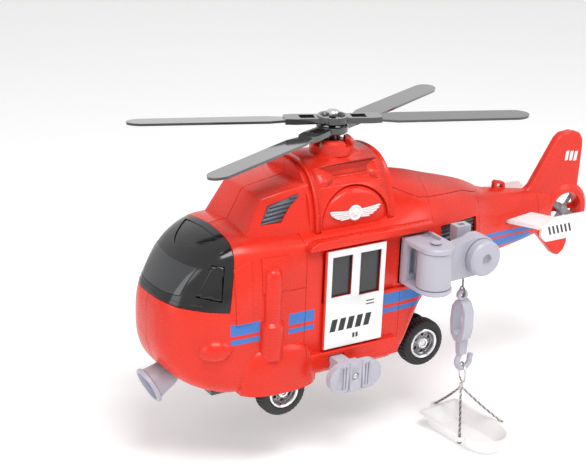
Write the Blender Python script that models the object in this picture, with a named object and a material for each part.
"""Toy rescue helicopter: a friction-powered moulded helicopter with a two-bar
rotor, sliding doors, a side winch on a swinging arm, a stretcher on slings,
pull-out stabilisers and a tilting searchlight.

Frame: +X towards the nose, +Y the helicopter's left side, +Z up.  The origin is
on the flat underside of the chassis plate, directly below the rotor mast.
Lengths are written in millimetres and heights are counted from the ground the
wheels stand on; BELLY_HEIGHT turns them into heights above the belly.
"""

import math

import bmesh
import bpy
from mathutils import Matrix, Vector

# ------------------------------------------------------------ dimensions (mm)
MM = 0.001
MERGE_DISTANCE = 1e-7        # in metres
BELLY_HEIGHT = 14.0          # underside of the chassis plate above the ground
WALL = 1.8                   # shell thickness

TYRE_RADIUS = 13.4
TYRE_WIDTH = 9.5
AXLE_Z = TYRE_RADIUS
FRONT_AXLE_X, REAR_AXLE_X = 46.7, -53.0
FRONT_FACE_Y, REAR_FACE_Y = 38.0, 22.2   # outer faces of the wheels
AXLE_RADIUS = 1.5
AXLE_END_INSET = 1.1         # from the wheel's outer face to the axle's end
WHEEL_BORE = 1.62            # radius, also of the gear on the rear axle

DOOR_X0, DOOR_X1 = -12.3, 24.5
DOOR_Z0, DOOR_Z1 = 32.0, 86.5
ROTOR_RADIUS = 106.5
UPPER_BAR_Z, LOWER_BAR_Z = 143.2, 138.2
UPPER_BAR_ANGLE, LOWER_BAR_ANGLE = -20.5, 25.0
PIN_X, PIN_Y = -33.2, 51.5   # vertical pin of the hoist arm
PIN_BORE = 1.95
WINCH_X, WINCH_Z = -61.5, 75.0
FAN_X, FAN_Z = -163.5, 68.0
LAMP_TILT = math.radians(26.0)           # nose-down tilt of the searchlight
STABILISER_X, STABILISER_Z = 12.6, 21.0  # stud that carries the foot
BAR_X, BAR_Z = (11.8, 20.2), (20.2, 28.0)  # section of a stabiliser bar
SPEAKER_X = 66

# Points and directions.
ORIGIN = (0, 0, 0)
Y_AXIS, Z_AXIS = (0, 1, 0), (0, 0, 1)
FRONT_HUB = (FRONT_AXLE_X, 0, AXLE_Z)
REAR_HUB = (REAR_AXLE_X, 0, AXLE_Z)
FAN_CENTRE = (FAN_X, 0, FAN_Z)
WINCH_CENTRE = (WINCH_X, 0, WINCH_Z)
LAMP_CENTRE = (94.0, 0, 19.5)
LAMP_AXIS = (math.cos(LAMP_TILT), 0, -math.sin(LAMP_TILT))
IDLER_CENTRE = (-45.4, 0, 17.2)
FLYWHEEL_CENTRE = (-39.2, 0, 22.6)
SIDES = ((1, "left"), (-1, "right"))     # sign of y, suffix of the name

# Shells with many near-tangent walls, where only the MANIFOLD solver stays closed.
MANIFOLD_PIECES = ("body", "fuselage_left", "fuselage_right")


# ------------------------------------------------------------------ materials
def material(name, colour, roughness, metallic=0.0):
    mat = bpy.data.materials.new(name)
    mat.use_nodes = True
    node = mat.node_tree.nodes["Principled BSDF"]
    node.inputs["Base Color"].default_value = (*colour, 1.0)
    node.inputs["Roughness"].default_value = roughness
    node.inputs["Metallic"].default_value = metallic
    mat.diffuse_color = (*colour, 1.0)
    return mat


for old_object in list(bpy.data.objects):
    bpy.data.objects.remove(old_object, do_unlink=True)

RED = material("red_plastic", colour=(0.78, 0.035, 0.018), roughness=0.3)
WHITE = material("white_plastic", colour=(0.86, 0.86, 0.86), roughness=0.35)
LIGHT = material("light_grey_plastic", colour=(0.72, 0.72, 0.78), roughness=0.35)
DARK = material("dark_grey_plastic", colour=(0.11, 0.13, 0.16), roughness=0.5)
BLACK = material("black_plastic", colour=(0.02, 0.02, 0.022), roughness=0.3)
GLAZE = material("black_glazing", colour=(0.012, 0.012, 0.014), roughness=0.08)
RUBBER = material("tyre_rubber", colour=(0.02, 0.02, 0.022), roughness=0.75)
CHROME = material("chromed_plastic", colour=(0.75, 0.75, 0.77), roughness=0.15, metallic=1.0)
STEEL = material("steel", colour=(0.55, 0.55, 0.56), roughness=0.3, metallic=1.0)
BLUE = material("blue_lens", colour=(0.03, 0.06, 0.45), roughness=0.1)
CORD = material("grey_cord", colour=(0.3, 0.3, 0.31), roughness=0.8)
GREEN = material("green_board", colour=(0.02, 0.17, 0.06), roughness=0.5)
CLEAR = material("clear_led", colour=(0.7, 0.75, 0.9), roughness=0.1)


# ------------------------------------------------------------- object helpers
def metres(x, y, z):
    """A point in mm above the ground as a scene point."""
    return Vector((x * MM, y * MM, (z - BELLY_HEIGHT) * MM))


def smooth(obj, angle=32.0):
    obj.data.shade_smooth()
    obj.data.set_sharp_from_angle(angle=math.radians(angle))


def make(name, verts, faces, mat, angle=32.0):
    """An object from vertices in mm (heights above ground) and faces."""
    mesh = bpy.data.meshes.new(name)
    mesh.from_pydata([metres(*vert) for vert in verts], [], faces)
    bm = bmesh.new()
    bm.from_mesh(mesh)
    bmesh.ops.remove_doubles(bm, verts=bm.verts, dist=MERGE_DISTANCE)
    bmesh.ops.recalc_face_normals(bm, faces=bm.faces)
    bm.to_mesh(mesh)
    bm.free()
    mesh.materials.append(mat)
    obj = bpy.data.objects.new(name, mesh)
    bpy.context.scene.collection.objects.link(obj)
    smooth(obj, angle)
    return obj


def bake(obj):
    """Replaces the mesh by the one its modifiers give."""
    bpy.context.view_layer.update()
    graph = bpy.context.evaluated_depsgraph_get()
    mesh = bpy.data.meshes.new_from_object(obj.evaluated_get(graph))
    old = obj.data
    obj.modifiers.clear()
    obj.data = mesh
    bpy.data.meshes.remove(old)
    mesh.name = obj.name


def boolean(obj, tool, operation):
    """Combines obj with the tool and removes the tool."""
    mod = obj.modifiers.new(operation.lower(), "BOOLEAN")
    mod.operation = operation
    mod.solver = "MANIFOLD" if obj.name in MANIFOLD_PIECES else "EXACT"
    mod.object = tool
    bake(obj)
    bpy.data.objects.remove(tool, do_unlink=True)


def cut(obj, *tools):
    for tool in tools:
        boolean(obj, tool, "DIFFERENCE")


def fuse(obj, *tools):
    for tool in tools:
        boolean(obj, tool, "UNION")


def copy(obj, name):
    new = bpy.data.objects.new(name, obj.data.copy())
    new.data.name = name
    bpy.context.scene.collection.objects.link(new)
    return new


def bevel_edges(obj, width, segments=1, angle=35.0):
    mod = obj.modifiers.new("edges", "BEVEL")
    mod.width = width * MM
    mod.segments = segments
    mod.limit_method = "ANGLE"
    mod.angle_limit = math.radians(angle)
    bake(obj)
    smooth(obj)


def transform_about(obj, matrix, start, end=None):
    """Transforms the mesh about the point start, and carries start to end."""
    end = end or start
    obj.data.transform(
        Matrix.Translation(metres(*end)) @ matrix @ Matrix.Translation(-metres(*start)))


def set_pivot(obj, x, y, z):
    pivot = metres(x, y, z)
    obj.data.transform(Matrix.Translation(-pivot))
    obj.location = pivot


# -------------------------------------------------------------- shape helpers
def span(centre, half):
    return centre - half, centre + half


def grown(limits, clearance):
    return limits[0] - clearance, limits[1] + clearance


def shrunk(outline, distance):
    """Each point moved by a distance towards the mean of the outline."""
    mean_x = sum(p[0] for p in outline) / len(outline)
    mean_z = sum(p[1] for p in outline) / len(outline)
    out = []
    for x, z in outline:
        radius = math.hypot(x - mean_x, z - mean_z)
        out.append((x - (x - mean_x) * distance / radius, z - (z - mean_z) * distance / radius))
    return out


def arc(centre_x, centre_y, radius, start, end, steps, radius_y=None):
    """Points on a circle, or on an ellipse, between two angles in degrees."""
    radius_y = radius if radius_y is None else radius_y
    angles = [math.radians(start + (end - start) * i / steps) for i in range(steps + 1)]
    return [(centre_x + radius * math.cos(a), centre_y + radius_y * math.sin(a)) for a in angles]


def box(name, x, y, z, mat, bevel=0.0):
    (x0, x1), (y0, y1), (z0, z1) = sorted(x), sorted(y), sorted(z)
    verts = [(i, j, k) for k in (z0, z1) for j in (y0, y1) for i in (x0, x1)]
    faces = [(0, 1, 3, 2), (4, 6, 7, 5), (0, 4, 5, 1), (2, 3, 7, 6), (0, 2, 6, 4), (1, 5, 7, 3)]
    obj = make(name, verts, faces, mat)
    if bevel:
        bevel_edges(obj, bevel)
    return obj


def prism(name, outline, axis, start, end, mat, bevel=0.0):
    """An extruded outline: (x, z) along y, (y, z) along x, (x, y) along z."""
    place = {
        "y": lambda p, t: (p[0], t, p[1]),
        "x": lambda p, t: (t, p[0], p[1]),
        "z": lambda p, t: (p[0], p[1], t),
    }[axis]
    n = len(outline)
    verts = [place(p, start) for p in outline] + [place(p, end) for p in outline]
    faces = [tuple(range(n)), tuple(range(2 * n - 1, n - 1, -1))]
    faces += [(i, (i + 1) % n, n + (i + 1) % n, n + i) for i in range(n)]
    obj = make(name, verts, faces, mat)
    if bevel:
        bevel_edges(obj, bevel)
    return obj


def loft(name, rings, mat, angle):
    """A capped skin over rings that have equally many points."""
    n = len(rings[0])
    faces = []
    for i in range(len(rings) - 1):
        a, b = i * n, (i + 1) * n
        faces += [(a + k, a + (k + 1) % n, b + (k + 1) % n, b + k) for k in range(n)]
    last = (len(rings) - 1) * n
    faces += [tuple(range(n)), tuple(last + k for k in range(n))]
    return make(name, [point for ring in rings for point in ring], faces, mat, angle)


def turned(name, profile, centre, axis, mat, segments=24, closed=False):
    """A turned piece: profile of (radius, distance along the axis).  A closed
    profile makes a ring; an open one starts and ends on the axis."""
    base = Vector(centre)
    along = Vector(axis).normalized()
    side = along.orthogonal().normalized()
    up = along.cross(side)
    verts, rings = [], []
    for radius, height in profile:
        if radius < 1e-6:
            rings.append([len(verts)])
            verts.append(tuple(base + along * height))
            continue
        rings.append(list(range(len(verts), len(verts) + segments)))
        for i in range(segments):
            t = 2 * math.pi * i / segments
            spoke = (side * math.cos(t) + up * math.sin(t)) * radius
            verts.append(tuple(base + along * height + spoke))
    faces = []
    pairs = list(zip(rings, rings[1:])) + ([(rings[-1], rings[0])] if closed else [])
    for a, b in pairs:
        for i in range(segments):
            j = (i + 1) % segments
            if len(a) == 1:
                faces.append((a[0], b[i], b[j]))
            elif len(b) == 1:
                faces.append((a[i], b[0], a[j]))
            else:
                faces.append((a[i], b[i], b[j], a[j]))
    return make(name, verts, faces, mat)


def rod(name, centre, axis, radius, start, end, mat, segments=16):
    profile = [(0, start), (radius, start), (radius, end), (0, end)]
    return turned(name, profile, centre, axis, mat, segments)


def swept(name, path, radius, mat, sides=6, closed=False):
    """A round bar along a path of (x, y, z) points."""
    points = [Vector(p) for p in path]
    n = len(points)
    verts, faces = [], []
    side = None
    for i, point in enumerate(points):
        before = points[(i - 1) % n] if closed or i else point
        after = points[(i + 1) % n] if closed or i < n - 1 else point
        tangent = (after - before).normalized()
        if side is None:
            side = tangent.orthogonal().normalized()
        side = (side - tangent * side.dot(tangent)).normalized()
        up = tangent.cross(side)
        for k in range(sides):
            t = 2 * math.pi * k / sides
            verts.append(tuple(point + (side * math.cos(t) + up * math.sin(t)) * radius))
    for i in range(n if closed else n - 1):
        for k in range(sides):
            a, b = i * sides, ((i + 1) % n) * sides
            faces.append((a + k, a + (k + 1) % sides, b + (k + 1) % sides, b + k))
    if not closed:
        faces += [tuple(range(sides)), tuple((n - 1) * sides + k for k in range(sides))]
    return make(name, verts, faces, mat, 50)


# ------------------------------------------------- fuselage cross-sections
# Each station: x, then the half section from the bottom centre, out over the
# side and up to the top centre, as eight (y, height) corners that are rounded.
STATIONS = [
    (106.6, [(0, 42), (5, 42), (9, 44.5), (10, 49), (10, 54), (9, 58), (6, 60.5), (0, 61)]),
    (105.0, [(0, 35), (9, 35.5), (14.5, 40), (15.5, 50), (15, 58), (13, 64), (8, 67.5), (0, 68.5)]),
    (102.5, [(0, 29), (12, 29.5), (18.5, 35), (20, 47), (19.3, 58), (17, 66), (12, 71.5), (0, 73)]),
    (99.0, [(0, 24.5), (14.5, 25), (21.5, 30.5), (23.8, 44),
            (23, 56), (20.8, 67), (16, 76.5), (0, 78.5)]),
    (94.0, [(0, 20), (17, 20.5), (25.5, 26), (27.8, 41),
            (27.2, 55), (24.6, 68), (19.5, 82.5), (0, 84.8)]),
    (88.0, [(0, 16.5), (19, 17), (28.8, 22), (31, 37),
            (30.5, 54), (28.2, 69), (23, 87.8), (0, 90.3)]),
    (83.0, [(0, 14.8), (21, 15.3), (31.2, 20), (33, 35),
            (32.6, 53), (30.6, 70), (25, 91), (0, 93.5)]),
    (76.0, [(0, 14), (24, 14), (33.6, 18.5), (34.9, 33),
            (34.6, 54), (32.9, 72), (27, 94), (0, 96.3)]),
    (68.0, [(0, 14), (26, 14), (34.7, 18), (35.3, 33), (35.2, 58), (34, 77), (28, 95.8), (0, 98)]),
    (56.0, [(0, 14), (27, 14), (34.8, 18), (35.4, 32),
            (35.4, 62), (34.8, 84), (28.5, 95), (0, 98.4)]),
    (36.0, [(0, 14), (27, 14), (34.8, 18.5), (35.4, 30),
            (35.4, 66), (35.2, 88), (29, 94), (0, 98)]),
    (-12.0, [(0, 14), (27, 14), (34.8, 18.5), (35.4, 30),
             (35.4, 66), (35.2, 88), (29, 94), (0, 99)]),
    (-20.0, [(0, 14), (27, 14), (34.8, 18.5), (35.4, 30),
             (35.4, 66), (35.2, 88), (28.5, 95), (0, 112)]),
    (-28.0, [(0, 15.5), (24, 15.5), (33.5, 21), (35.2, 33),
             (35.2, 67), (35, 88), (27, 97), (0, 113.3)]),
    (-34.0, [(0, 27), (20, 27), (31.5, 31), (34.8, 40),
             (34.8, 68), (34.5, 88), (25.5, 98.5), (0, 112.2)]),
    (-40.0, [(0, 38.5), (19, 38.5), (30, 42), (34.2, 50),
             (34.2, 70), (33.8, 88), (24, 100), (0, 111)]),
    (-48.0, [(0, 46.5), (17, 46.5), (28, 49), (32.6, 56),
             (32.8, 73), (31.8, 88), (22, 100.6), (0, 109.1)]),
    (-60.0, [(0, 50.5), (15, 50.5), (25.5, 53), (29.6, 60),
             (30, 75), (28, 89), (18.5, 99.5), (0, 105.6)]),
    (-72.0, [(0, 52.5), (12.5, 52.5), (22, 55), (25.8, 62),
             (26.2, 75), (24, 87.5), (15, 97.5), (0, 102.3)]),
    (-84.0, [(0, 53.5), (10.5, 53.5), (18.5, 56), (21.8, 62),
             (22, 74.5), (20, 86), (12.5, 94.8), (0, 98.6)]),
    (-92.0, [(0, 54), (9, 54), (15.8, 56), (18.6, 62), (18.6, 73), (17, 83), (10.5, 92), (0, 95.3)]),
    (-100.0, [(0, 54), (8, 54), (13.6, 56), (16.2, 62),
              (16.2, 72), (14.4, 81), (8.8, 89), (0, 91.2)]),
    (-110.0, [(0, 54.2), (7.2, 54.2), (12, 56.5), (14, 62),
              (14, 71.5), (12.4, 79.5), (7.2, 87.5), (0, 89.2)]),
    (-124.0, [(0, 55.3), (6, 55.3), (9.6, 57.5), (11, 62.5),
              (11, 71), (9.8, 78), (5.8, 85.3), (0, 86.6)]),
    (-140.0, [(0, 57.6), (4.6, 57.6), (7, 59.6), (8, 64), (8, 71), (7, 76.5), (4.4, 82.5), (0, 84)]),
    (-151.0, [(0, 60), (3, 60), (4.6, 61.5), (5.2, 65), (5.2, 71), (4.6, 75), (3.2, 80), (0, 81.5)]),
]

# Where the lofts take their sections, nose to tail.
OUTER_X = [106.6, 105.9, 104.8, 102.8, 99.5, 95, 89.5, 83.5, 77, 67, 54, 38, -12, -20, -25,
           -30, -35, -40, -48, -60, -74, -86, -98, -112, -132, -151]
CAVITY_X = [103.0, 101.0, 96, 88, 78, 64, 38, -12, -20, -28, -34, -40, -52, -72, -92, -112, -132]
CANOPY_INSIDE_X = [104.2, 102.8, 101.5, 98, 93, 87, 80, 72, 64, 54, 45]
PANE_INSIDE_X = [103.8, 102.5, 101, 98, 93, 87, 80, 72, 64, 54, 45]


def station_slope(k, corner, axis):
    """Rate of change along x of one corner coordinate at station k."""
    def between(a, b):
        rise = STATIONS[b][1][corner][axis] - STATIONS[a][1][corner][axis]
        return rise / (STATIONS[b][0] - STATIONS[a][0])

    last = len(STATIONS) - 1
    if k == 0:
        return between(0, 1)
    if k == last:
        return between(last - 1, last)
    before, after = between(k - 1, k), between(k, k + 1)
    if before * after <= 0:
        return 0.0
    return 2 * before * after / (before + after)  # harmonic: no overshoot


def corners_at(x):
    """The section's corners at x, on smooth curves through the stations."""
    i = next(k for k in range(len(STATIONS) - 1) if STATIONS[k][0] >= x >= STATIONS[k + 1][0])
    (x0, corners0), (x1, corners1) = STATIONS[i], STATIONS[i + 1]
    step = x1 - x0
    t = (x - x0) / step
    out = []
    for corner in range(8):
        point = []
        for axis in range(2):
            slope0 = station_slope(i, corner, axis) * step
            slope1 = station_slope(i + 1, corner, axis) * step
            point.append(
                (2 * t**3 - 3 * t**2 + 1) * corners0[corner][axis]
                + (t**3 - 2 * t**2 + t) * slope0
                + (-2 * t**3 + 3 * t**2) * corners1[corner][axis]
                + (t**3 - t**2) * slope1
            )
        out.append(tuple(point))
    return out


def rounded(points, times):
    """Corner cutting at quarter points; both end points stay."""
    for _ in range(times):
        new = [points[0]]
        for i, (a, b) in enumerate(zip(points, points[1:])):
            if i:
                new.append((0.75 * a[0] + 0.25 * b[0], 0.75 * a[1] + 0.25 * b[1]))
            if i < len(points) - 2:
                new.append((0.25 * a[0] + 0.75 * b[0], 0.25 * a[1] + 0.75 * b[1]))
        new.append(points[-1])
        points = new
    return points


def half_section(x, inset, times):
    points = rounded(corners_at(x), times)
    last = len(points) - 1
    out = []
    for i, (y, z) in enumerate(points):
        before = points[i - 1] if i else (-points[1][0], points[1][1])
        after = points[i + 1] if i < last else (-points[-2][0], points[-2][1])
        run, rise = after[0] - before[0], after[1] - before[1]
        length = math.hypot(run, rise)
        inset_y = 0.0 if i in (0, last) else max(0.0, y - inset * rise / length)
        out.append((inset_y, z + inset * run / length))
    return out


def body_loft(name, xs, inset=0.0, times=1, mat=RED):
    """The fuselage skin, moved inwards by inset, through sections at xs."""
    rings = []
    for x in xs:
        half = half_section(x, inset, times)
        rings.append([(x, y, z) for y, z in half] + [(x, -y, z) for y, z in reversed(half[1:-1])])
    return loft(name, rings, mat, 35)


# ------------------------------------------------- engine housing and cowl
COWL_REAR_X = 25.6
ARCH_X, ARCH_Z = 1.6, 97     # centre of the side arches of the engine cover


def housing(name, half_width, top, x0, x1, base):
    """The barrel-shaped engine housing behind the cowl: one superelliptic arch along x."""
    spring_z, steps, power = 84, 12, 2 / 2.6
    rings = []
    for x in (x0, x1):
        ring = [(x, half_width, base)]
        for k in range(steps + 1):
            a = math.pi * k / steps
            c, s = math.cos(a), math.sin(a)
            ring.append((x, half_width * math.copysign(abs(c) ** power, c),
                         spring_z + (top - spring_z) * max(0.0, s) ** power))
        ring.append((x, -half_width, base))
        rings.append(ring)
    return loft(name, rings, RED, 35)


def cowl(name, inset):
    """The wedge-fronted air intake box in front of the housing."""
    front, rear = 63.5 - inset, COWL_REAR_X - inset
    corners = [
        (front, 22.5 - inset, 94), (front, -22.5 + inset, 94),
        (rear, -27.4 + inset, 92), (rear, 27.4 - inset, 92),
        (53 - inset, 18.2 - inset, 113.6 - inset), (53 - inset, -18.2 + inset, 113.6 - inset),
        (rear, -20.2 + inset, 118.4 - inset), (rear, 20.2 - inset, 118.4 - inset),
    ]
    faces = [(0, 1, 2, 3), (4, 7, 6, 5), (0, 4, 5, 1), (1, 5, 6, 2), (2, 6, 7, 3), (3, 7, 4, 0)]
    return make(name, corners, faces, RED)


def arch_lobe(side):
    """A lobe that bulges through one arch of the engine cover."""
    # y, half length, height of the arc above ARCH_Z
    levels = ((20, 20.1, 17.1), (25.2, 20.0, 16.2), (26.6, 19.2, 14.8), (27.2, 17.8, 13.0))
    rings = []
    for y, half, height in levels:
        outline = [(ARCH_X + half, 90)]
        outline += arc(ARCH_X, ARCH_Z, half, 0, 180, 10, height)
        outline += [(ARCH_X - half, 90)]
        rings.append([(x, side * y, z) for x, z in outline])
    return loft("lobe", rings, RED, 35)


# ------------------------------------------------------- fuselage additions
# Side views as (x, height).
FIN = [(-133, 84), (-137, 87), (-153.2, 112.6), (-156.5, 115.2), (-164, 116), (-170, 114.4),
       (-172.6, 110), (-173, 106), (-172.2, 80), (-168, 46.5), (-166.3, 42.6), (-162.5, 39.8),
       (-158.5, 41.5), (-147, 54), (-139, 62)]
EYE = [(-118.5, 84), (-118.2, 90.6), (-117, 92), (-112, 93.2), (-110.6, 92.4), (-110.6, 84)]
EYE_HOLE = [(-116.6, 88.6), (-116.6, 90.3), (-112.4, 91.5), (-112.4, 88.9)]
RAIL = [(34.5, 87.6), (33.5, 90.2), (29.5, 92.2), (-41.5, 92.2), (-41.5, 87.6)]
SILL = [(31.5, 21.2), (32.8, 25), (31.5, 30.9), (-22, 30.9), (-24.5, 26), (-23, 21.2)]
# Turned profiles as (radius, distance along the axis).
FAN_RING = [(11.2, -4.2), (14.0, -4.6), (16.6, -2.4), (16.6, 2.4), (14.0, 4.6), (11.2, 4.2)]
LEG = [(0, 34), (6.6, 34), (6.8, 52.5), (4.9, 54.2), (4.9, 78), (4.2, 80.6), (2.4, 82.2), (0, 82.6)]
BLISTER = [(0, -8), (7.4, -8), (7.4, 0.6), (6.4, 2.6), (3.6, 4.1), (0, 4.6)]


def tail_fin():
    """The fin with the fan ring, and a hub held by an arm on its right side."""
    fin = prism("fin", FIN, "y", -2.9, 2.9, RED, bevel=1.0)
    cut(fin, rod("duct", FAN_CENTRE, Y_AXIS, 12.5, -8, 8, RED, 24))
    fuse(fin,
         turned("ring", FAN_RING, FAN_CENTRE, Y_AXIS, RED, 24, closed=True),
         box("hub_arm", span(FAN_X, 12.4), (-3.4, -1.9), span(FAN_Z, 1.6), RED),
         rod("hub_boss", FAN_CENTRE, Y_AXIS, 3.0, -3.6, -1.7, RED, 16))
    cut(fin, rod("fan_bore", FAN_CENTRE, Y_AXIS, 1.1, -8, 2, RED, 12))
    return fin


def lifting_eye():
    """The small eye on top of the boom."""
    eye = prism("eye", EYE, "y", -1.4, 1.4, RED)
    cut(eye, prism("eye_hole", EYE_HOLE, "y", -3, 3, RED))
    return eye


def fender(side):
    """Sponson over a front wheel: a rounded hood with a short skirt."""
    inner_y, base_z, skirt, steps = 25, 15.5, 8.5, 7
    rings = []
    for x in [26.4, 29.5, 35, 42, 50, 58, 64.5, 69, 70.6]:
        swell = max(0.12, 1 - abs((x - 48.5) / 22.6) ** 2.6) ** (1 / 2.4)
        height = skirt + 17 * swell
        ring = [(x, side * inner_y, base_z)]
        for k in range(steps + 1):
            a = math.pi / 2 * k / steps
            c, s = math.cos(a) ** 0.62, math.sin(a) ** 0.72
            ring.append((x, side * (30 + 11.6 * swell * c), base_z + height * s))
        ring.append((x, side * inner_y, base_z + height))
        rings.append(ring)
    return loft("fender", rings, RED, 40)


def add_side_features(body, side):
    fuse(body, fender(side))
    # The landing-gear leg above the fender, in two diameters with a domed top.
    fuse(body, turned("leg", LEG, (54.2, side * 34.6, 0), Z_AXIS, RED, 12))
    # Rail above the door and the side step below it.
    fuse(body, prism("rail", RAIL, "y", side * 32, side * 38.2, RED))
    fuse(body, prism("sill", SILL, "y", side * 30, side * 38.2, RED))
    # Nose blister.
    fuse(body, turned("blister", BLISTER, (84.6, side * 31.2, 41.0), (0.32, side * 0.94, 0.0),
                      RED, 12))


# -------------------------------------------------------- fuselage openings
# Side views as (x, height).
CANOPY_OPENING = [(70.2, 108), (72.0, 95.5), (77.4, 61.8), (88, 62.6),
                  (99.8, 64.2), (104, 65.6), (118, 66.8), (118, 108)]
COWL_POCKET = [(49.6, 109.2), (32.4, 113.6), (32.4, 112.6),
               (38.2, 107.2), (43, 100.4), (54.6, 100.4)]
REAR_POCKET = [(-52, 74.5), (-52, 85.6), (-83.2, 83.2), (-83.2, 73.8)]
DOORWAY_MARGIN_X, DOORWAY_MARGIN_Z = 3.5, 4   # the doorway is smaller than the door
BAR_HOLE_CLEARANCE = 0.6


def hollow(body):
    """The main cavity, the cowl and the housing."""
    cut(body, body_loft("cavity", CAVITY_X, WALL))
    cut(body, cowl("cowl_cavity", 2.0), housing("hump_cavity", 25.0, 123.4, 26.2, -18.0, 83))


def cut_centre_openings(body):
    cut(body, prism("canopy_cut", CANOPY_OPENING, "y", -60, 60, RED))
    cut(body, box("belly_cut", (-33.4, 82.4), (-25, 25), (8, 19), RED))
    cut(body, box("motor_opening", (-44, -20), (-11, 11), (8, 38.6), RED))
    cut(body, rod("mast_hole", ORIGIN, Z_AXIS, 4.2, 100, 140, RED, 20))


def cut_side_openings(body, side):
    # Wheel well and axle slot.
    cut(body, rod("well", FRONT_HUB, (0, side, 0), 15.0, 27.0, 39.2, RED, 28))
    cut(body, box("axle_slot", span(FRONT_AXLE_X, 2.2), (side * 20, side * 30), (5, 16.0), RED))
    x0, x1 = DOOR_X0 + DOORWAY_MARGIN_X, DOOR_X1 - DOORWAY_MARGIN_X
    z0, z1 = DOOR_Z0 + DOORWAY_MARGIN_Z, DOOR_Z1 - DOORWAY_MARGIN_Z
    cut(body, prism("doorway", [(x0, z0), (x1, z0), (x1, z1), (x0, z1)], "y",
                    side * 28, side * 45, RED))
    # Passage of the stabiliser bar.
    cut(body, box("bar_hole", grown(BAR_X, BAR_HOLE_CLEARANCE), (side * 22, side * 45),
                  grown(BAR_Z, BAR_HOLE_CLEARANCE), RED))
    # Grille pockets in the cowl and the rear body.
    cut(body, prism("grille_pocket", COWL_POCKET, "y", side * 18.4, side * 40, RED))
    cut(body, prism("rear_pocket", REAR_POCKET, "y", side * 16, side * 40, RED))


def build_fuselage():
    body = body_loft("body", OUTER_X)
    intake = cowl("cowl", 0)
    bevel_edges(intake, 1.6, segments=2, angle=20)
    fuse(body, intake, housing("hump", 26.8, 125.2, 28, -21.8, 82))
    fuse(body, tail_fin())
    fuse(body, lifting_eye())
    for side, _ in SIDES:
        add_side_features(body, side)
    for side, _ in SIDES:
        fuse(body, arch_lobe(side))
    hollow(body)
    cut_centre_openings(body)
    for side, _ in SIDES:
        cut_side_openings(body, side)
    cut(body, box("tailplane_slot", (-134.4, -111.1), (-40, 40), (71.1, 73.8), RED))
    cut(body, rod("lamp_hole", LAMP_CENTRE, LAMP_AXIS, 9.6, -9, 30, RED, 20))
    cut(body, box("bracket_slot", (-42.9, -23.4), (30, 45), (59.4, 86.4), RED))

    # Two halves, each 0.1 mm short of the middle plane.
    left = copy(body, "fuselage_left")
    cut(left, box("right_side", (-220, 140), (-80, 0.1), (-40, 200), RED))
    right = body
    cut(right, box("left_side", (-220, 140), (-0.1, 80), (-40, 200), RED))
    right.name = "fuselage_right"
    for half, side in ((left, 1), (right, -1)):
        # Recess behind the door so that the pane can slide rearwards.
        cut(half, box("pane_track", (-43.5, 25), (side * 33.6, side * 40), (57.4, 84.9), RED))
        smooth(half, 35)


build_fuselage()


# ------------------------------------------------------------ engine cover
ARCH_RADIUS = 20.5
COLLAR = [(4.6, 125.8), (11.6, 125.8), (11.6, 132.2), (10.2, 133.4),
          (7.4, 133.4), (7.0, 130), (4.6, 130)]   # radius, height


def build_engine_cover():
    cover = housing("engine_cover", 28.6, 127.0, 25.3, -22.5, 82)
    cut(cover, housing("cover_inside", 27.1, 125.5, 40, -40, 78))
    # The sides end in an arch between a front and a rear claw.
    arch = [(ARCH_X + ARCH_RADIUS, 70)]
    arch += arc(ARCH_X, ARCH_Z, ARCH_RADIUS, 0, 180, 10, 17.6)
    arch += [(ARCH_X - ARCH_RADIUS, 70)]
    for side, _ in SIDES:
        cut(cover, prism("claw_arch", arch, "y", side * 8, side * 40, RED))
    cut(cover, body_loft("cover_seat", [x for x in OUTER_X if x <= 67], -0.35))
    collar = turned("collar", COLLAR, ORIGIN, Z_AXIS, RED, 24, closed=True)
    for k in range(4):
        notch = box("notch", (6.5, 14), (-2.6, 2.6), (130.4, 138), RED)
        notch.data.transform(Matrix.Rotation(math.radians(90 * k + 20), 4, "Z"))
        cut(collar, notch)
    fuse(cover, collar)
    cut(cover, rod("cover_bore", ORIGIN, Z_AXIS, 4.6, 100, 140.0, RED, 24))
    smooth(cover, 35)


build_engine_cover()

# ----------------------------------------------------------------- glazing
# The canopy's side view as (x, height), just inside the fuselage opening.
CANOPY = [(69.2, 107), (72.35, 95.5), (77.7, 62.15), (88, 62.95),
          (99.8, 64.55), (104, 65.95), (118, 67.15), (118, 107)]
WINDSHIELD = [(-20, 70), (20, 70), (21.5, 84), (-21.5, 84)]              # (y, height)
SIDE_WINDOW = [(92.6, 70), (81, 67.4), (78.2, 84.9), (83.6, 85.6)]       # (x, height)
PANE_CLEARANCE = 0.45
GLAZED_X = [x for x in OUTER_X if x >= 50]


def pane(name, region):
    """A shell of the fuselage skin within the region."""
    obj = body_loft(name, GLAZED_X, 0.25, 2, GLAZE)
    boolean(obj, region, "INTERSECT")
    cut(obj, body_loft("pane_inside", PANE_INSIDE_X, 1.5, 2, GLAZE))
    return obj


def build_glazing():
    canopy = body_loft("canopy_frame", GLAZED_X, 0.0, 2, GLAZE)
    boolean(canopy, prism("canopy_region", CANOPY, "y", -60, 60, GLAZE), "INTERSECT")
    cut(canopy, body_loft("canopy_inside", CANOPY_INSIDE_X, 1.9, 1, GLAZE))

    region = prism("region", shrunk(WINDSHIELD, PANE_CLEARANCE), "x", 80, 120, GLAZE)
    windshield = pane("windshield_glass", region)
    cut(canopy, prism("front_opening", WINDSHIELD, "x", 80, 120, GLAZE))
    for side, tag in SIDES:
        limits = (side * 10, side * 50)
        pane("side_window_" + tag,
             prism("region", shrunk(SIDE_WINDOW, PANE_CLEARANCE), "y", *limits, GLAZE))
        cut(canopy, prism("side_opening", SIDE_WINDOW, "y", *limits, GLAZE))
    smooth(canopy, 35)
    smooth(windshield, 35)


build_glazing()

# ----------------------------------------------------------------- grilles
GRILLE_INSET = 0.5
GROOVE_DEPTH, GROOVE_HALF_HEIGHT = 1.1, 0.45


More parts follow.
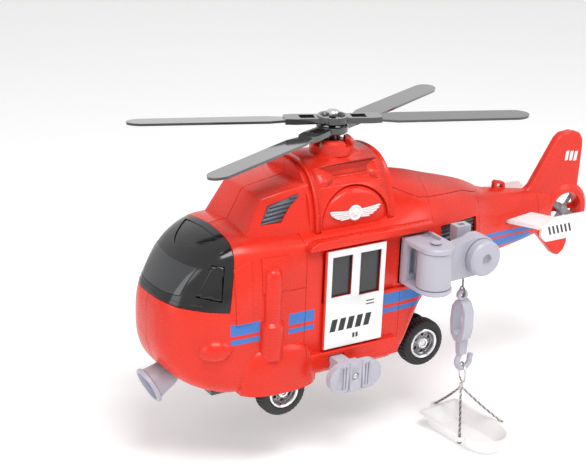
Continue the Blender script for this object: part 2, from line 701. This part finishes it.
def grille(name, outline, inner_y, outer_y, slats, side, tilt):
    """A louvre insert: a back plate with grooves between its slats."""
    mid_x = sum(p[0] for p in outline) / len(outline)
    low, high = min(p[1] for p in outline), max(p[1] for p in outline)
    obj = prism(name, outline, "y", side * inner_y, side * outer_y, DARK)
    pitch = (high - low) / slats
    for k in range(1, slats):
        z = low + pitch * k
        groove = box("groove", span(mid_x, 40),
                     (side * (outer_y - GROOVE_DEPTH), side * (outer_y + 3)),
                     span(z, GROOVE_HALF_HEIGHT), DARK)
        transform_about(groove, Matrix.Rotation(tilt, 4, "Y"), (mid_x, 0, z))
        cut(obj, groove)
    return obj


def build_grilles(side, tag):
    grille("cowl_grille_" + tag, shrunk(COWL_POCKET, GRILLE_INSET),
           inner_y=18.9, outer_y=21.9, slats=6, side=side, tilt=0.1)
    rear = grille("rear_grille_" + tag, shrunk(REAR_POCKET, GRILLE_INSET),
                  inner_y=17.0, outer_y=19.2, slats=5, side=side, tilt=-0.04)
    # The rear insert leans with the tapering body side and sits further out.
    lean = Matrix.Identity(4)
    lean[1][0] = side * 0.235
    transform_about(rear, lean, (-67.5, 0, 79), (-67.5, side * 4.2, 79))


# ----------------------------------------------------------- side emblems
BADGE_X, BADGE_Y = 2.0, 27.5
BADGE_DISC = [(0, 0), (4.1, 0), (4.1, 1.2), (3.4, 1.6), (0, 1.6)]   # radius, distance
# Distance from BADGE_X, height.
BADGE_WING = [(3.0, 98.8), (3.0, 102.4), (15.6, 103.4), (14.4, 101.2), (11, 98.9), (7, 97.8)]


def build_badge(side, tag):
    badge = turned("badge_" + tag, BADGE_DISC, (BADGE_X, side * BADGE_Y, 101.0),
                   (0, side, 0), WHITE, 20)
    for end in (1, -1):
        outline = [(BADGE_X + end * x, z) for x, z in BADGE_WING]
        fuse(badge, prism("wing", outline, "y", side * BADGE_Y, side * (BADGE_Y + 1), WHITE))
    smooth(badge)


for side, tag in SIDES:
    build_grilles(side, tag)
    build_badge(side, tag)

# ------------------------------------------------------------- tailplane
TAIL_PLAN = [(-111.5, -10), (-111.5, 10), (-122.5, 29.6), (-145.3, 29.6),
             (-134, 9.6), (-134, -9.6), (-145.3, -29.6), (-122.5, -29.6)]   # (x, y)
ENDPLATE = [(-122.3, 68), (-122.3, 72.6), (-131.5, 77.7), (-154.5, 77.5),
            (-158.5, 74.2), (-153.0, 64.3), (-126, 64.3)]                   # (x, height)


def build_tailplane():
    tail = prism("tailplane", TAIL_PLAN, "z", 71.4, 73.5, WHITE)
    for side, _ in SIDES:
        fuse(tail, prism("endplate", ENDPLATE, "y", side * 29.3, side * 31.2, WHITE))
    smooth(tail)


build_tailplane()

# ---------------------------------------------------------- chassis plate
PLATE_LAP = 15.6             # underside of the blocks that sink into the plate
AXLE_SEAT_RADIUS = 1.95
GUIDE_CLEARANCE = 0.4
POST_BORE = 3.4
# Ring profiles as (radius, height).
SPEAKER_SEAT = [(9.8, PLATE_LAP), (11.4, PLATE_LAP), (11.4, 21.0), (9.8, 21.0)]
POST = [(POST_BORE, 25.5), (6.0, 25.5), (6.0, 40), (POST_BORE, 40)]


def build_chassis():
    chassis = box("chassis_plate", (-33.0, 82.0), (-24.7, 24.7), (BELLY_HEIGHT, 16.2), BLACK)
    # Front axle block, open downwards.
    fuse(chassis, box("axle_block", span(FRONT_AXLE_X, 5), (-23.6, 23.6),
                      (PLATE_LAP, 20.5), BLACK))
    cut(chassis,
        rod("axle_bore", FRONT_HUB, Y_AXIS, AXLE_SEAT_RADIUS, -30, 30, BLACK, 20),
        box("axle_mouth", span(FRONT_AXLE_X, AXLE_SEAT_RADIUS), (-30, 30), (8, AXLE_Z), BLACK))
    # Battery bay with its opening in the belly, closed by the battery cover.
    fuse(chassis, box("bay", (3, 41), (-11, 11), (PLATE_LAP, 26.6), BLACK))
    cut(chassis, box("bay_inside", (4.6, 39.4), (-9.4, 9.4), (8, 25.2), BLACK))
    cut(chassis, box("cover_rebate", (3.6, 40.4), (-10.4, 10.4), (8, 15.4), BLACK))
    # Guide boxes for the two stabiliser bars.
    for side, _ in SIDES:
        guide = box("guide", (9.6, 22.4), (side * 12.4, side * 24.4), (PLATE_LAP, 31.4), BLACK)
        cut(guide, box("guide_bore", grown(BAR_X, GUIDE_CLEARANCE), (side * 13.8, side * 30),
                       grown(BAR_Z, GUIDE_CLEARANCE), BLACK))
        fuse(chassis, guide)
    # Speaker seat and the sound slots below it.
    fuse(chassis, turned("seat", SPEAKER_SEAT, (SPEAKER_X, 0, 0), Z_AXIS, BLACK, 16, closed=True))
    for k in range(-2, 3):
        cut(chassis, box("sound_slot", span(SPEAKER_X, 6), span(k * 3, 0.6), (8, 18), BLACK))
    # Bearing post for the rotor mast.
    fuse(chassis, box("post_foot", (-5.5, 5.5), (-8, 8), (26.0, 28.0), BLACK))
    fuse(chassis, turned("post", POST, ORIGIN, Z_AXIS, BLACK, 20, closed=True))
    cut(chassis, rod("post_bore", ORIGIN, Z_AXIS, POST_BORE, 29, 60, BLACK, 20))
    smooth(chassis)


# ------------------------------------------------- batteries and electronics
CELLS_START = (7.2, 0, 20.3)
CELLS_MIDDLE = (22, 0, 20.3)
CELLS_SCALE = (1, 0.82, 0.76, 1)
# Terminal, then three cells: (radius, distance along x).
CELLS = [(0, 0), (2.2, 0), (2.2, 0.8), (5.8, 0.8), (5.8, 9.6), (5.2, 10.1), (5.8, 10.6),
         (5.8, 19.4), (5.2, 19.9), (5.8, 20.4), (5.8, 29.4), (0, 29.4)]
SPEAKER = [(0, 16.8), (7, 16.8), (9.4, 17.6), (9.4, 20.4), (6.0, 21.6), (5.0, 24.6), (0, 24.6)]


def build_battery_cover():
    cover = box("battery_cover", (3.9, 40.1), (-10.1, 10.1), (BELLY_HEIGHT, 15.1), BLACK)
    for k in range(4):
        # Finger grooves near the front end.
        cut(cover, box("rib", (33 + k * 1.8, 33.8 + k * 1.8), (-6, 6), (13, 14.5), BLACK))


def build_electronics():
    cells = turned("battery_cells", CELLS, CELLS_START, (1, 0, 0), STEEL, 12)
    # The row of cells is slightly slimmer than the bay is deep.
    transform_about(cells, Matrix.Diagonal(CELLS_SCALE), CELLS_MIDDLE)
    board = box("circuit_board", (44.5, 48.1), (-9, 9), (21.0, 46), GREEN)
    fuse(board, rod("button", (47.9, 0, 40), (1, 0, 0), 1.8, 0, 2.6, GREEN, 12))
    turned("speaker", SPEAKER, (SPEAKER_X, 0, 0), Z_AXIS, DARK, 16)


build_chassis()
build_battery_cover()
build_electronics()

# --------------------------------------------------------- friction motor
# A gear train from the rear axle to a flywheel, in a two-sided case.
MODULE = 0.8
AXLE_TEETH, IDLER_SMALL_TEETH, IDLER_LARGE_TEETH, PINION_TEETH = 13, 8, 12, 8
AXLE_TO_IDLER_ANGLE, IDLER_TO_FLYWHEEL_ANGLE = 26.57, 41.0   # degrees above +X
ARBOR_BORE = 1.25
# One tooth: (share of the tooth pitch, whether it lies on the tip circle).
TOOTH = ((-0.2852, False), (-0.1012, True), (0.1012, True), (0.2852, False))
FLYWHEEL = [(ARBOR_BORE, -7.8), (6.8, -7.8), (6.8, -3.8), (2.0, -3.8),
            (2.0, 3.4), (ARBOR_BORE, 3.4)]   # radius, y
# The case's side views as (x, height).
CASE = [(-65.5, 8.6), (-65.5, 18.5), (-57, 25.8), (-44.5, 31.9), (-34.5, 31.9),
        (-29.4, 28.6), (-24.0, 19.4), (-22, 19.4), (-22, 17.0), (-33.4, 16.4),
        (-33.4, 13.0), (-44, 5.6), (-62, 5.6)]
CASE_INSIDE = [(-61.2, 7.1), (-63.8, 9.2), (-63.8, 17.8), (-56.2, 24.2), (-44.1, 30.3),
               (-35, 30.3), (-31.8, 28), (-30.9, 26), (-32.3, 18.7), (-35.6, 14.0),
               (-44.8, 7.1)]


def gear(name, centre, teeth, y0, y1, mat, phase, bore=None):
    pitch_radius = MODULE * teeth / 2
    tip, root = pitch_radius + MODULE * 0.82, pitch_radius - MODULE * 1.12
    outline = []
    for k in range(teeth):
        for share, on_tip in TOOTH:
            radius = tip if on_tip else root
            a = math.radians(phase) + 2 * math.pi * (k + share) / teeth
            outline.append((centre[0] + radius * math.cos(a), centre[2] + radius * math.sin(a)))
    obj = prism(name, outline, "y", y0, y1, mat)
    if bore:
        cut(obj, rod("gear_bore", centre, Y_AXIS, bore, y0 - 1, y1 + 1, mat, 16))
    return obj


def meshing_phase(angle, teeth):
    """Phase that turns a gap towards the driving gear, which has a tooth at angle."""
    return angle + 180 + 180 / teeth


def build_gear_train():
    axle_gear = gear("axle_gear", REAR_HUB, AXLE_TEETH, -2.4, 2.4, WHITE,
                     AXLE_TO_IDLER_ANGLE, WHEEL_BORE)
    set_pivot(axle_gear, *REAR_HUB)

    idler = gear("idler_gear", IDLER_CENTRE, IDLER_SMALL_TEETH, -2.4, 5.0, WHITE,
                 meshing_phase(AXLE_TO_IDLER_ANGLE, IDLER_SMALL_TEETH))
    fuse(idler, gear("idler_wheel", IDLER_CENTRE, IDLER_LARGE_TEETH, 3.6, 7.6, WHITE,
                     IDLER_TO_FLYWHEEL_ANGLE))
    cut(idler, rod("idler_bore", IDLER_CENTRE, Y_AXIS, ARBOR_BORE, -12, 12, WHITE, 12))
    set_pivot(idler, *IDLER_CENTRE)

    flywheel = turned("flywheel", FLYWHEEL, FLYWHEEL_CENTRE, Y_AXIS, STEEL, 20, closed=True)
    fuse(flywheel, gear("pinion", FLYWHEEL_CENTRE, PINION_TEETH, 3.2, 8.0, STEEL,
                        meshing_phase(IDLER_TO_FLYWHEEL_ANGLE, PINION_TEETH), ARBOR_BORE))
    set_pivot(flywheel, *FLYWHEEL_CENTRE)


def build_friction_case():
    case = prism("friction_case", CASE, "y", -10.6, 10.6, BLACK)
    cut(case, prism("case_inside", CASE_INSIDE, "y", -8.8, 8.8, BLACK))
    cut(case, rod("case_axle", REAR_HUB, Y_AXIS, 1.9, -20, 20, BLACK, 16))
    cut(case, box("case_vent", (-54, -47), (-5, 5), (24.8, 45), BLACK))
    for centre in (IDLER_CENTRE, FLYWHEEL_CENTRE):
        fuse(case, rod("arbor", centre, Y_AXIS, 0.95, -9.6, 9.6, BLACK, 12))
    smooth(case)


build_gear_train()
build_friction_case()


# ------------------------------------------------------------ wheels, axles
def build_wheel(centre, face, side, tag):
    """A hub and a tyre; face is the distance of the outer face from the middle."""
    inner = face - TYRE_WIDTH
    # Profiles as (radius, distance from the middle plane).
    hub_profile = [
        (WHEEL_BORE, inner + 1.2), (8.6, inner + 1.2), (8.6, face - 0.6), (7.7, face - 0.1),
        (7.1, face - 0.6), (6.4, face - 2.6), (3.4, face - 2.2), (2.9, face - 0.7),
        (WHEEL_BORE, face - 0.7)]
    tyre_profile = [
        (8.85, inner), (11.2, inner), (12.8, inner + 0.7), (TYRE_RADIUS, inner + 2.2),
        (TYRE_RADIUS, face - 2.2), (12.8, face - 0.7), (11.2, face), (8.85, face - 0.3)]
    axis = (0, side, 0)
    hub = turned("wheel_hub_" + tag, hub_profile, centre, axis, CHROME, 20, closed=True)
    tyre = turned("tyre_" + tag, tyre_profile, centre, axis, RUBBER, 26, closed=True)
    set_pivot(hub, *centre)
    set_pivot(tyre, *centre)


for place, centre, face in (("front", FRONT_HUB, FRONT_FACE_Y), ("rear", REAR_HUB, REAR_FACE_Y)):
    for side, tag in SIDES:
        build_wheel(centre, face, side, place + "_" + tag)
    axle_end = face - AXLE_END_INSET
    axle = rod(place + "_axle", centre, Y_AXIS, AXLE_RADIUS, -axle_end, axle_end, STEEL, 16)
    set_pivot(axle, *centre)

# ------------------------------------------------------------------- rotor
BAR_BORE = 1.95
# Turned profiles as (radius, height).
MAST = [(0, 28.6), (2.9, 28.6), (2.9, 112), (3.3, 112), (3.3, 128), (3.9, 130),
        (3.9, 135.6), (1.7, 135.6), (1.7, 146.6), (0, 146.6)]
ROTOR_CAP = [(0, 147.0), (2.0, 147.0), (2.0, 145.2), (3.4, 145.2),
             (3.4, 147.0), (2.9, 147.7), (0, 147.9)]
# Radius, height above the bar's own level.
BAR_HUB = [(BAR_BORE, -1.9), (7.6, -1.9), (8.4, -1.2), (8.4, 1.6), (7.9, 2.0),
           (6.6, 2.0), (6.0, 0.6), (BAR_BORE, 0.6)]
# Plan views as (distance from the mast, y).
ROTOR_ARM = [(6.8, -4.4), (20, -5.0), (25.5, -4.2), (25.5, 4.2), (20, 5.0), (6.8, 4.4)]
ARM_POCKET = [(9.8, -2.9), (17.6, -3.1), (17.6, 3.1), (9.8, 2.9)]
TIP_LENGTH = 9
BLADE = ([(22, -3.4), (34, -6.2)]
         + arc(ROTOR_RADIUS - TIP_LENGTH, 0, TIP_LENGTH, -80, 80, 6, 5.9)
         + [(34, 6.2), (22, 3.4)])
BLADE_PITCH = 4              # degrees


def build_rotor_bar(name, z, angle):
    """Two blades on one bar: a hub ring, two pocketed arms and thin blades."""
    hub = turned(name, [(radius, z + height) for radius, height in BAR_HUB],
                 ORIGIN, Z_AXIS, BLACK, 20, closed=True)
    for end in (1, -1):
        def facing(outline):
            return [(end * x, y) for x, y in outline]

        arm = prism("arm", facing(ROTOR_ARM), "z", z - 1.6, z + 1.4, BLACK)
        cut(arm, prism("pocket", facing(ARM_POCKET), "z", z - 0.2, z + 4, BLACK))
        blade = prism("blade", facing(BLADE), "z", z - 0.75, z + 0.55, BLACK)
        # The blade keeps a slight pitch about its long axis.
        pitch = Matrix.Rotation(math.radians(BLADE_PITCH * end), 4, "X")
        transform_about(blade, pitch, (0, 0, z))
        fuse(arm, blade)
        fuse(hub, arm)
    cut(hub, rod("bar_bore", ORIGIN, Z_AXIS, BAR_BORE, z - 5, z + 5, BLACK, 20))
    hub.data.transform(Matrix.Rotation(math.radians(angle), 4, "Z"))
    smooth(hub)


turned("rotor_mast", MAST, ORIGIN, Z_AXIS, BLACK, 20)
build_rotor_bar("rotor_upper_blades", UPPER_BAR_Z, UPPER_BAR_ANGLE)
build_rotor_bar("rotor_lower_blades", LOWER_BAR_Z, LOWER_BAR_ANGLE)
turned("rotor_cap", ROTOR_CAP, ORIGIN, Z_AXIS, STEEL, 12)

# ---------------------------------------------------------------- tail fan
# Shaft and hub: (radius, y).
FAN_HUB = [(0, -6.2), (0.85, -6.2), (0.85, -1.2), (2.9, -1.2), (2.9, 2.2), (2.2, 3.0), (0, 3.2)]
FAN_PITCH = math.radians(28)


def build_tail_fan():
    fan = turned("tail_fan", FAN_HUB, FAN_CENTRE, Y_AXIS, WHITE, 12)
    for k in range(4):
        blade = box("fan_blade", (2.2, 10.2), (-0.5, 0.5), (-1.9, 1.9), WHITE)
        turn = Matrix.Rotation(-math.radians(90 * k + 35), 4, "Y")
        pitch = Matrix.Rotation(FAN_PITCH, 4, "X")
        transform_about(blade, turn @ pitch, ORIGIN, (FAN_X, 0.9, FAN_Z))
        fuse(fan, blade)
    smooth(fan)
    set_pivot(fan, *FAN_CENTRE)


build_tail_fan()

# ------------------------------------------------------------------- doors
# x and height limits of the front and the rear window.
DOOR_WINDOWS = [((8.3, 20.8), (60.5, 82.8)), ((-9.4, 3.8), (59.1, 82.8))]


def build_door(side, tag):
    door = box("door_" + tag, (DOOR_X0, DOOR_X1), (side * 36.0, side * 37.9),
               (DOOR_Z0, DOOR_Z1), WHITE, bevel=0.5)
    for x_limits, z_limits in DOOR_WINDOWS:
        cut(door, box("window", x_limits, (side * 30, side * 40), z_limits, WHITE))
    fuse(door, box("handle", (-9.6, -8.2), (side * 37.6, side * 39.3), (40, 56), WHITE, bevel=0.3))
    # One pane on the inner side of both windows.
    glass = box("door_glass_" + tag, (-10.4, 21.8), (side * 34.2, side * 35.7),
                (58.0, 84.3), GLAZE)
    set_pivot(door, 6, side * 37, 60)
    set_pivot(glass, 6, side * 37, 60)


# -------------------------------------------------------------- stabilisers
FOOT_HALF_HEIGHT = 8
FOOT_WAIST = 3.4             # half length of the flat between the two lobes
FOOT_LOBE_X = 7.6            # from the stud to the centre of a lobe
FOOT_LOBE_RADIUS = 8.2


def foot_outline():
    x, z, half = STABILISER_X, STABILISER_Z, FOOT_HALF_HEIGHT
    front = arc(x + FOOT_LOBE_X, z, FOOT_LOBE_RADIUS, 90, -90, 8, half)
    rear = arc(x - FOOT_LOBE_X, z, FOOT_LOBE_RADIUS, -90, -270, 8, half)
    return ([(x + FOOT_WAIST, z + half)] + front
            + [(x + FOOT_WAIST, z - half), (x - FOOT_WAIST, z - half)] + rear
            + [(x - FOOT_WAIST, z + half)])


def build_stabiliser(side, tag):
    stud_base = (STABILISER_X, 0, STABILISER_Z)
    axis = (0, side, 0)
    bar = box("stabiliser_bar_" + tag, BAR_X, (side * 20.2, side * 47.6), BAR_Z, LIGHT, bevel=0.5)
    fuse(bar, box("bar_end", (8.6, BAR_X[1]), (side * 44.6, side * 47.6), (16.0, BAR_Z[1]), LIGHT))
    fuse(bar, rod("stud", stud_base, axis, 1.6, 46, 51.2, LIGHT, 16))
    set_pivot(bar, STABILISER_X, side * 30, STABILISER_Z)

    foot = prism("stabiliser_foot_" + tag, foot_outline(), "y", side * 48.0, side * 51.8, LIGHT)
    cut(foot, rod("foot_bore", stud_base, axis, 1.95, 40, 60, LIGHT, 16))
    for offset in (-3.9, 3.9):
        cut(foot, box("foot_groove", span(STABILISER_X + offset, 0.45), (side * 50.9, side * 55),
                      span(STABILISER_Z, 10), LIGHT))
    set_pivot(foot, STABILISER_X, side * 48, STABILISER_Z)


for side, tag in SIDES:
    build_door(side, tag)
    build_stabiliser(side, tag)

# --------------------------------------------------------------- searchlight
# Profiles as (radius, distance along the tilted lamp axis).
LAMP_HOUSING = [(0, -5.6), (3.4, -5.0), (6.0, -2.6), (7.2, 1.0), (8.0, 6.4), (8.7, 10.4),
                (10.0, 11.2), (10.0, 12.6), (9.4, 13.1), (8.2, 13.1), (7.6, 10.6),
                (4.2, 2.0), (0, 2.0)]
LAMP_LENS = [(0, 7.2), (5.6, 7.2), (6.6, 9.4), (6.6, 10.3), (4.6, 11.4), (0, 12.0)]
LAMP_LED = [(0, 2.3), (2.0, 2.3), (2.0, 4.8), (1.3, 6.2), (0, 6.8)]

for part, profile, mat, segments in (("housing", LAMP_HOUSING, LIGHT, 20),
                                     ("lens", LAMP_LENS, BLUE, 16),
                                     ("led", LAMP_LED, CLEAR, 10)):
    piece = turned("searchlight_" + part, profile, LAMP_CENTRE, LAMP_AXIS, mat, segments)
    set_pivot(piece, *LAMP_CENTRE)

# --------------------------------------------------------------------- hoist
BRACKET_RADIUS = 9.6
LEVER_BORE = 2.95
PIN_FOOT = (PIN_X, PIN_Y, 0)
# Around the pin, as (radius, height).
HOIST_PIN = [(0, 59.2), (3.0, 59.2), (3.0, 59.7), (1.6, 59.9),
             (1.6, 86.3), (3.0, 86.6), (3.0, 87.2), (0, 87.4)]
ARM_BARREL = [(PIN_BORE, 62.9), (8.9, 62.9), (9.2, 63.2), (9.2, 82.6),
              (8.9, 82.9), (PIN_BORE, 82.9)]
# Around the winch axis, as (radius, y).
ARM_HEAD = [(0, 43.6), (10.2, 43.6), (10.8, 44.2), (10.8, 52.2), (10.2, 52.8), (0, 52.8)]
KNOB = [(0, 37.0), (2.6, 37.0), (2.6, 45.7), (7.0, 45.9), (7.0, 46.7), (5.6, 46.9),
        (5.6, 50.3), (7.0, 50.5), (7.0, 52.4), (4.0, 53.2), (9.0, 53.2), (9.7, 53.8),
        (9.7, 57.8), (8.6, 59.0), (3.0, 59.3), (2.5, 57.4), (0, 57.2)]
LEVER_SLEEVE = [(LEVER_BORE, 36.6), (4.2, 36.6), (4.2, 43.2), (LEVER_BORE, 43.2)]
# Slot in the bracket's top plate, as (x from the pin, y).
TOP_SLOT = [(-7.2, 30), (-7.2, 46.0), (-5.8, 47.6), (-1.6, 47.6), (-0.2, 46.0), (-0.2, 30)]


def build_bracket():
    """A round-nosed block on the left wall, hollowed into two plates and a wall plate."""
    outline = [(PIN_X + BRACKET_RADIUS, 35.6)]
    outline += arc(PIN_X, PIN_Y, BRACKET_RADIUS, 0, 180, 12, 10.0)
    outline += [(PIN_X - BRACKET_RADIUS, 35.6)]
    bracket = prism("hoist_bracket", outline, "z", 60.0, 86.0, LIGHT, bevel=0.7)
    space = [(PIN_X + 30, 39.6), (PIN_X + 30, 70), (PIN_X - 30, 70), (PIN_X - 30, 39.6)]
    cut(bracket, prism("arm_space", space, "z", 62.6, 83.2, LIGHT))
    # Slot in the top plate, open towards the wall, and window in the wall plate.
    cut(bracket, prism("top_slot", [(PIN_X + x, y) for x, y in TOP_SLOT], "z", 84, 90, LIGHT))
    cut(bracket, box("wall_window", (PIN_X + 3.0, PIN_X + 7.0), (30, 45), (66, 80), LIGHT))
    fuse(bracket, box("tongue", span(PIN_X, 9.0), (33.9, 36.2), (60.4, 85.6), LIGHT))
    cut(bracket, rod("pin_bore", PIN_FOOT, Z_AXIS, PIN_BORE, 50, 95, LIGHT, 16))
    smooth(bracket)


def build_hoist_arm():
    arm = turned("hoist_arm", ARM_BARREL, PIN_FOOT, Z_AXIS, LIGHT, 22, closed=True)
    neck = [(PIN_X - 2, 63.4), (WINCH_X, 64.2), (WINCH_X, 85.6),
            (PIN_X - 12, 83.2), (PIN_X - 10, 82.4), (PIN_X - 2, 82.4)]
    fuse(arm,
         prism("neck", neck, "y", 45.6, 52.6, LIGHT),
         turned("head", ARM_HEAD, WINCH_CENTRE, Y_AXIS, LIGHT, 22))
    cut(arm, rod("arm_bore", PIN_FOOT, Z_AXIS, PIN_BORE, 50, 95, LIGHT, 20))
    cut(arm,
        rod("drum_space", WINCH_CENTRE, Y_AXIS, 8.6, 45.4, 60, LIGHT, 20),
        rod("shaft_hole", WINCH_CENTRE, Y_AXIS, 3.0, 40, 60, LIGHT, 20),
        box("cord_slot", (WINCH_X + 4.6, WINCH_X + 9.4), (46.4, 51.0), (58, 76), LIGHT))
    smooth(arm)
    set_pivot(arm, PIN_X, PIN_Y, 73)


def build_winch():
    knob = turned("winch_knob", KNOB, WINCH_CENTRE, Y_AXIS, LIGHT, 16)
    set_pivot(knob, *WINCH_CENTRE)

    lever = turned("winch_lever", LEVER_SLEEVE, WINCH_CENTRE, Y_AXIS, LIGHT, 14, closed=True)
    loop = box("loop", (WINCH_X - 3.6, WINCH_X + 5.4), (33.2, 39.4),
               (WINCH_Z + 3.4, WINCH_Z + 12.4), LIGHT)
    cut(loop, box("loop_hole", (WINCH_X - 1.0, WINCH_X + 2.8), (34.8, 37.8),
                  (WINCH_Z, WINCH_Z + 20), LIGHT))
    fuse(lever, loop)
    cut(lever, rod("lever_bore", WINCH_CENTRE, Y_AXIS, LEVER_BORE, 30, 50, LIGHT, 14))
    smooth(lever)
    set_pivot(lever, *WINCH_CENTRE)


build_bracket()
turned("hoist_pin", HOIST_PIN, PIN_FOOT, Z_AXIS, LIGHT, 12)
build_hoist_arm()
build_winch()

# --------------------------------------------------- cord, hook and ring
CORD_X, CORD_Y = WINCH_X + 7.0, 48.7
LEAN = math.tan(math.radians(5.0))    # the load hangs a little aft


def hang_x(drop):
    """x of the leaning load line at a drop below its top."""
    return CORD_X - LEAN * drop


HOOK_TOP_Z = 54.0
FRAME_Z = HOOK_TOP_Z - 28.2           # foot of the hook's frame
HOOK_BAR_RADIUS = 1.55
BEND_RADIUS = 4.3                     # centre line of the hook's bend
BEND_X, BEND_Z = hang_x(38) - 1.8, FRAME_Z - 12.5
RING_RADIUS = 5.4
RING_Z = BEND_Z - BEND_RADIUS + HOOK_BAR_RADIUS + 1.2 - RING_RADIUS
# Width is scaled by FRAME_WIDTH_SCALE: (y, height above FRAME_Z).
FRAME_WIDTH_SCALE = 0.86
FRAME_OUTER = [(0, 24.0), (3.4, 23.0), (6.6, 18.6), (7.2, 10), (5.8, 3.0), (2.0, 0),
               (-2.0, 0), (-5.8, 3.0), (-7.2, 10), (-6.6, 18.6), (-3.4, 23.0)]
FRAME_INNER = [(0, 20.6), (2.4, 19.8), (4.2, 16.6), (4.6, 10), (3.4, 5.0), (0.8, 3.0),
               (-0.8, 3.0), (-3.4, 5.0), (-4.6, 10), (-4.2, 16.6), (-2.4, 19.8)]
HOOK_RING = [(1.6, -1.2), (3.0, -1.2), (3.2, 0), (3.0, 1.2), (1.6, 1.2)]   # radius, y


def build_cord():
    cord = swept("hoist_cord", [(CORD_X, CORD_Y, 72.0), (CORD_X, CORD_Y, 62.5),
                                (hang_x(7), CORD_Y, 57.0)], 0.55, CORD, 8)
    angles = [2 * math.pi * k / 12 for k in range(12)]
    loop = [(hang_x(8), CORD_Y + 2.0 * math.sin(a), 55.0 + 2.0 * math.cos(a)) for a in angles]
    fuse(cord, swept("eye_loop", loop, 0.4, CORD, 6, closed=True))
    smooth(cord, 60)


def hook_frame():
    def placed(outline):
        return [(y * FRAME_WIDTH_SCALE + CORD_Y, z + FRAME_Z) for y, z in outline]

    x = hang_x(22)
    frame = prism("hook_frame", placed(FRAME_OUTER), "x", *span(x, 3.0), LIGHT)
    cut(frame, prism("hook_window", placed(FRAME_INNER), "x", *span(x, 6), LIGHT))
    return frame


def build_hook():
    """A ring at the top, an open frame, a neck and a J-shaped bar."""
    hook = turned("hook", HOOK_RING, (hang_x(8), CORD_Y, HOOK_TOP_Z - 1.4), Y_AXIS,
                  LIGHT, 16, closed=True)
    neck = [(hang_x(36) - 2.2, FRAME_Z - 8), (hang_x(36) + 2.2, FRAME_Z - 8),
            (hang_x(34) + 3.0, FRAME_Z + 1.6), (hang_x(34) - 3.0, FRAME_Z + 1.6)]
    path = [(hang_x(37), CORD_Y, FRAME_Z - 6.0), (hang_x(38) + 1.4, CORD_Y, FRAME_Z - 9.0)]
    path += [(x, CORD_Y, z) for x, z in arc(BEND_X, BEND_Z, BEND_RADIUS, 40, -190, 8)]
    path += [(BEND_X - 4.6, CORD_Y, BEND_Z + 3.2)]
    fuse(hook,
         hook_frame(),
         prism("hook_neck", neck, "y", *span(CORD_Y, 1.9), LIGHT),
         swept("jay", path, HOOK_BAR_RADIUS, LIGHT, 7))
    smooth(hook)


def build_sling_ring():
    path = []
    for k in range(20):
        a = 2 * math.pi * k / 20
        out = RING_RADIUS * math.sin(a)
        # The ring's plane is turned about the vertical.
        path.append((BEND_X + out * 0.35, CORD_Y + out * 0.94, RING_Z + RING_RADIUS * math.cos(a)))
    swept("sling_ring", path, 0.5, STEEL, 5, closed=True)


build_cord()
build_hook()
build_sling_ring()

# ----------------------------------------------------- stretcher and slings
TRAY_X, TRAY_Y = BEND_X - 0.4, CORD_Y + 8.5
RIM_Z = RING_Z - RING_RADIUS - 21.0
TRAY_TURN = math.radians(6)
# Levels: head-end length, half width, foot-end length, height.
TRAY_OUTER = [(21.5, 9.4, 20.0, RIM_Z - 9.5), (26.5, 13.4, 24.5, RIM_Z - 1.2),
              (27.6, 14.2, 25.4, RIM_Z - 1.2), (27.6, 14.2, 25.4, RIM_Z)]
TRAY_INNER = [(20.3, 8.4, 18.8, RIM_Z - 8.2), (26.0, 12.8, 24.0, RIM_Z + 2)]
LUGS = [(-27.0, 0.0), (9.5, 15.6), (9.5, -15.6)]     # (along, across) the tray
KNOT_Z = RING_Z - RING_RADIUS
# Profiles as (radius, height).
KNOT = [(0, 0.95), (0.9, 0.7), (1.3, 0), (1.1, -1.6), (0.6, -2.4), (0, -2.5)]
STOP = [(0, -4.4), (1.3, -4.1), (1.5, -3.4), (1.2, -2.7), (0, -2.5)]


def tray_point(along, across):
    """(x, y) of a point along the stretcher (away from the body) and across it."""
    c, s = math.cos(TRAY_TURN), math.sin(TRAY_TURN)
    return TRAY_X - along * s + across * c, TRAY_Y + along * c + across * s


def tray_outline(head, half_width, foot):
    """Square foot end, rounded head end."""
    steps = 8
    straight, curved = head * 0.35, head * 0.65
    points = [(-foot, -half_width * 0.92), (-foot, half_width * 0.92),
              (-foot + 2, half_width), (straight, half_width)]
    for k in range(1, steps):
        a = math.pi * k / steps
        points.append((straight + curved * math.sin(a), half_width * math.cos(a)))
    return points + [(straight, -half_width), (-foot + 2, -half_width)]


def tray_loft(name, levels):
    rings = [[(*tray_point(*p), z) for p in tray_outline(head, half_width, foot)]
             for head, half_width, foot, z in levels]
    return loft(name, rings, WHITE, 30)


def build_tray():
    tray = tray_loft("stretcher_tray", TRAY_OUTER)
    cut(tray, tray_loft("tray_inside", TRAY_INNER))
    for lug in LUGS:
        base = (*tray_point(*lug), 0)
        fuse(tray, rod("lug", base, Z_AXIS, 2.4, RIM_Z - 2.2, RIM_Z - 0.1, WHITE, 12))
        cut(tray, rod("lug_hole", base, Z_AXIS, 0.95, RIM_Z - 6, RIM_Z + 4, WHITE, 10))
    smooth(tray)


def build_slings():
    """A knot under the ring and one cord to each lug, with a stop below it."""
    slings = turned("stretcher_slings", KNOT, (BEND_X, CORD_Y, KNOT_Z - 1.9), Z_AXIS, CORD, 10)
    for lug in LUGS:
        x, y = tray_point(*lug)
        middle = (BEND_X + (x - BEND_X) * 0.5, CORD_Y + (y - CORD_Y) * 0.5,
                  (KNOT_Z + RIM_Z) * 0.5 - 1.3)
        path = [(BEND_X, CORD_Y, KNOT_Z - 2.6), middle, (x, y, RIM_Z + 1.0), (x, y, RIM_Z - 3.0)]
        cord = swept("leg", path, 0.6, CORD, 5)
        fuse(cord, turned("stop", STOP, (x, y, RIM_Z), Z_AXIS, CORD, 6))
        fuse(slings, cord)
    smooth(slings, 60)


build_tray()
build_slings()
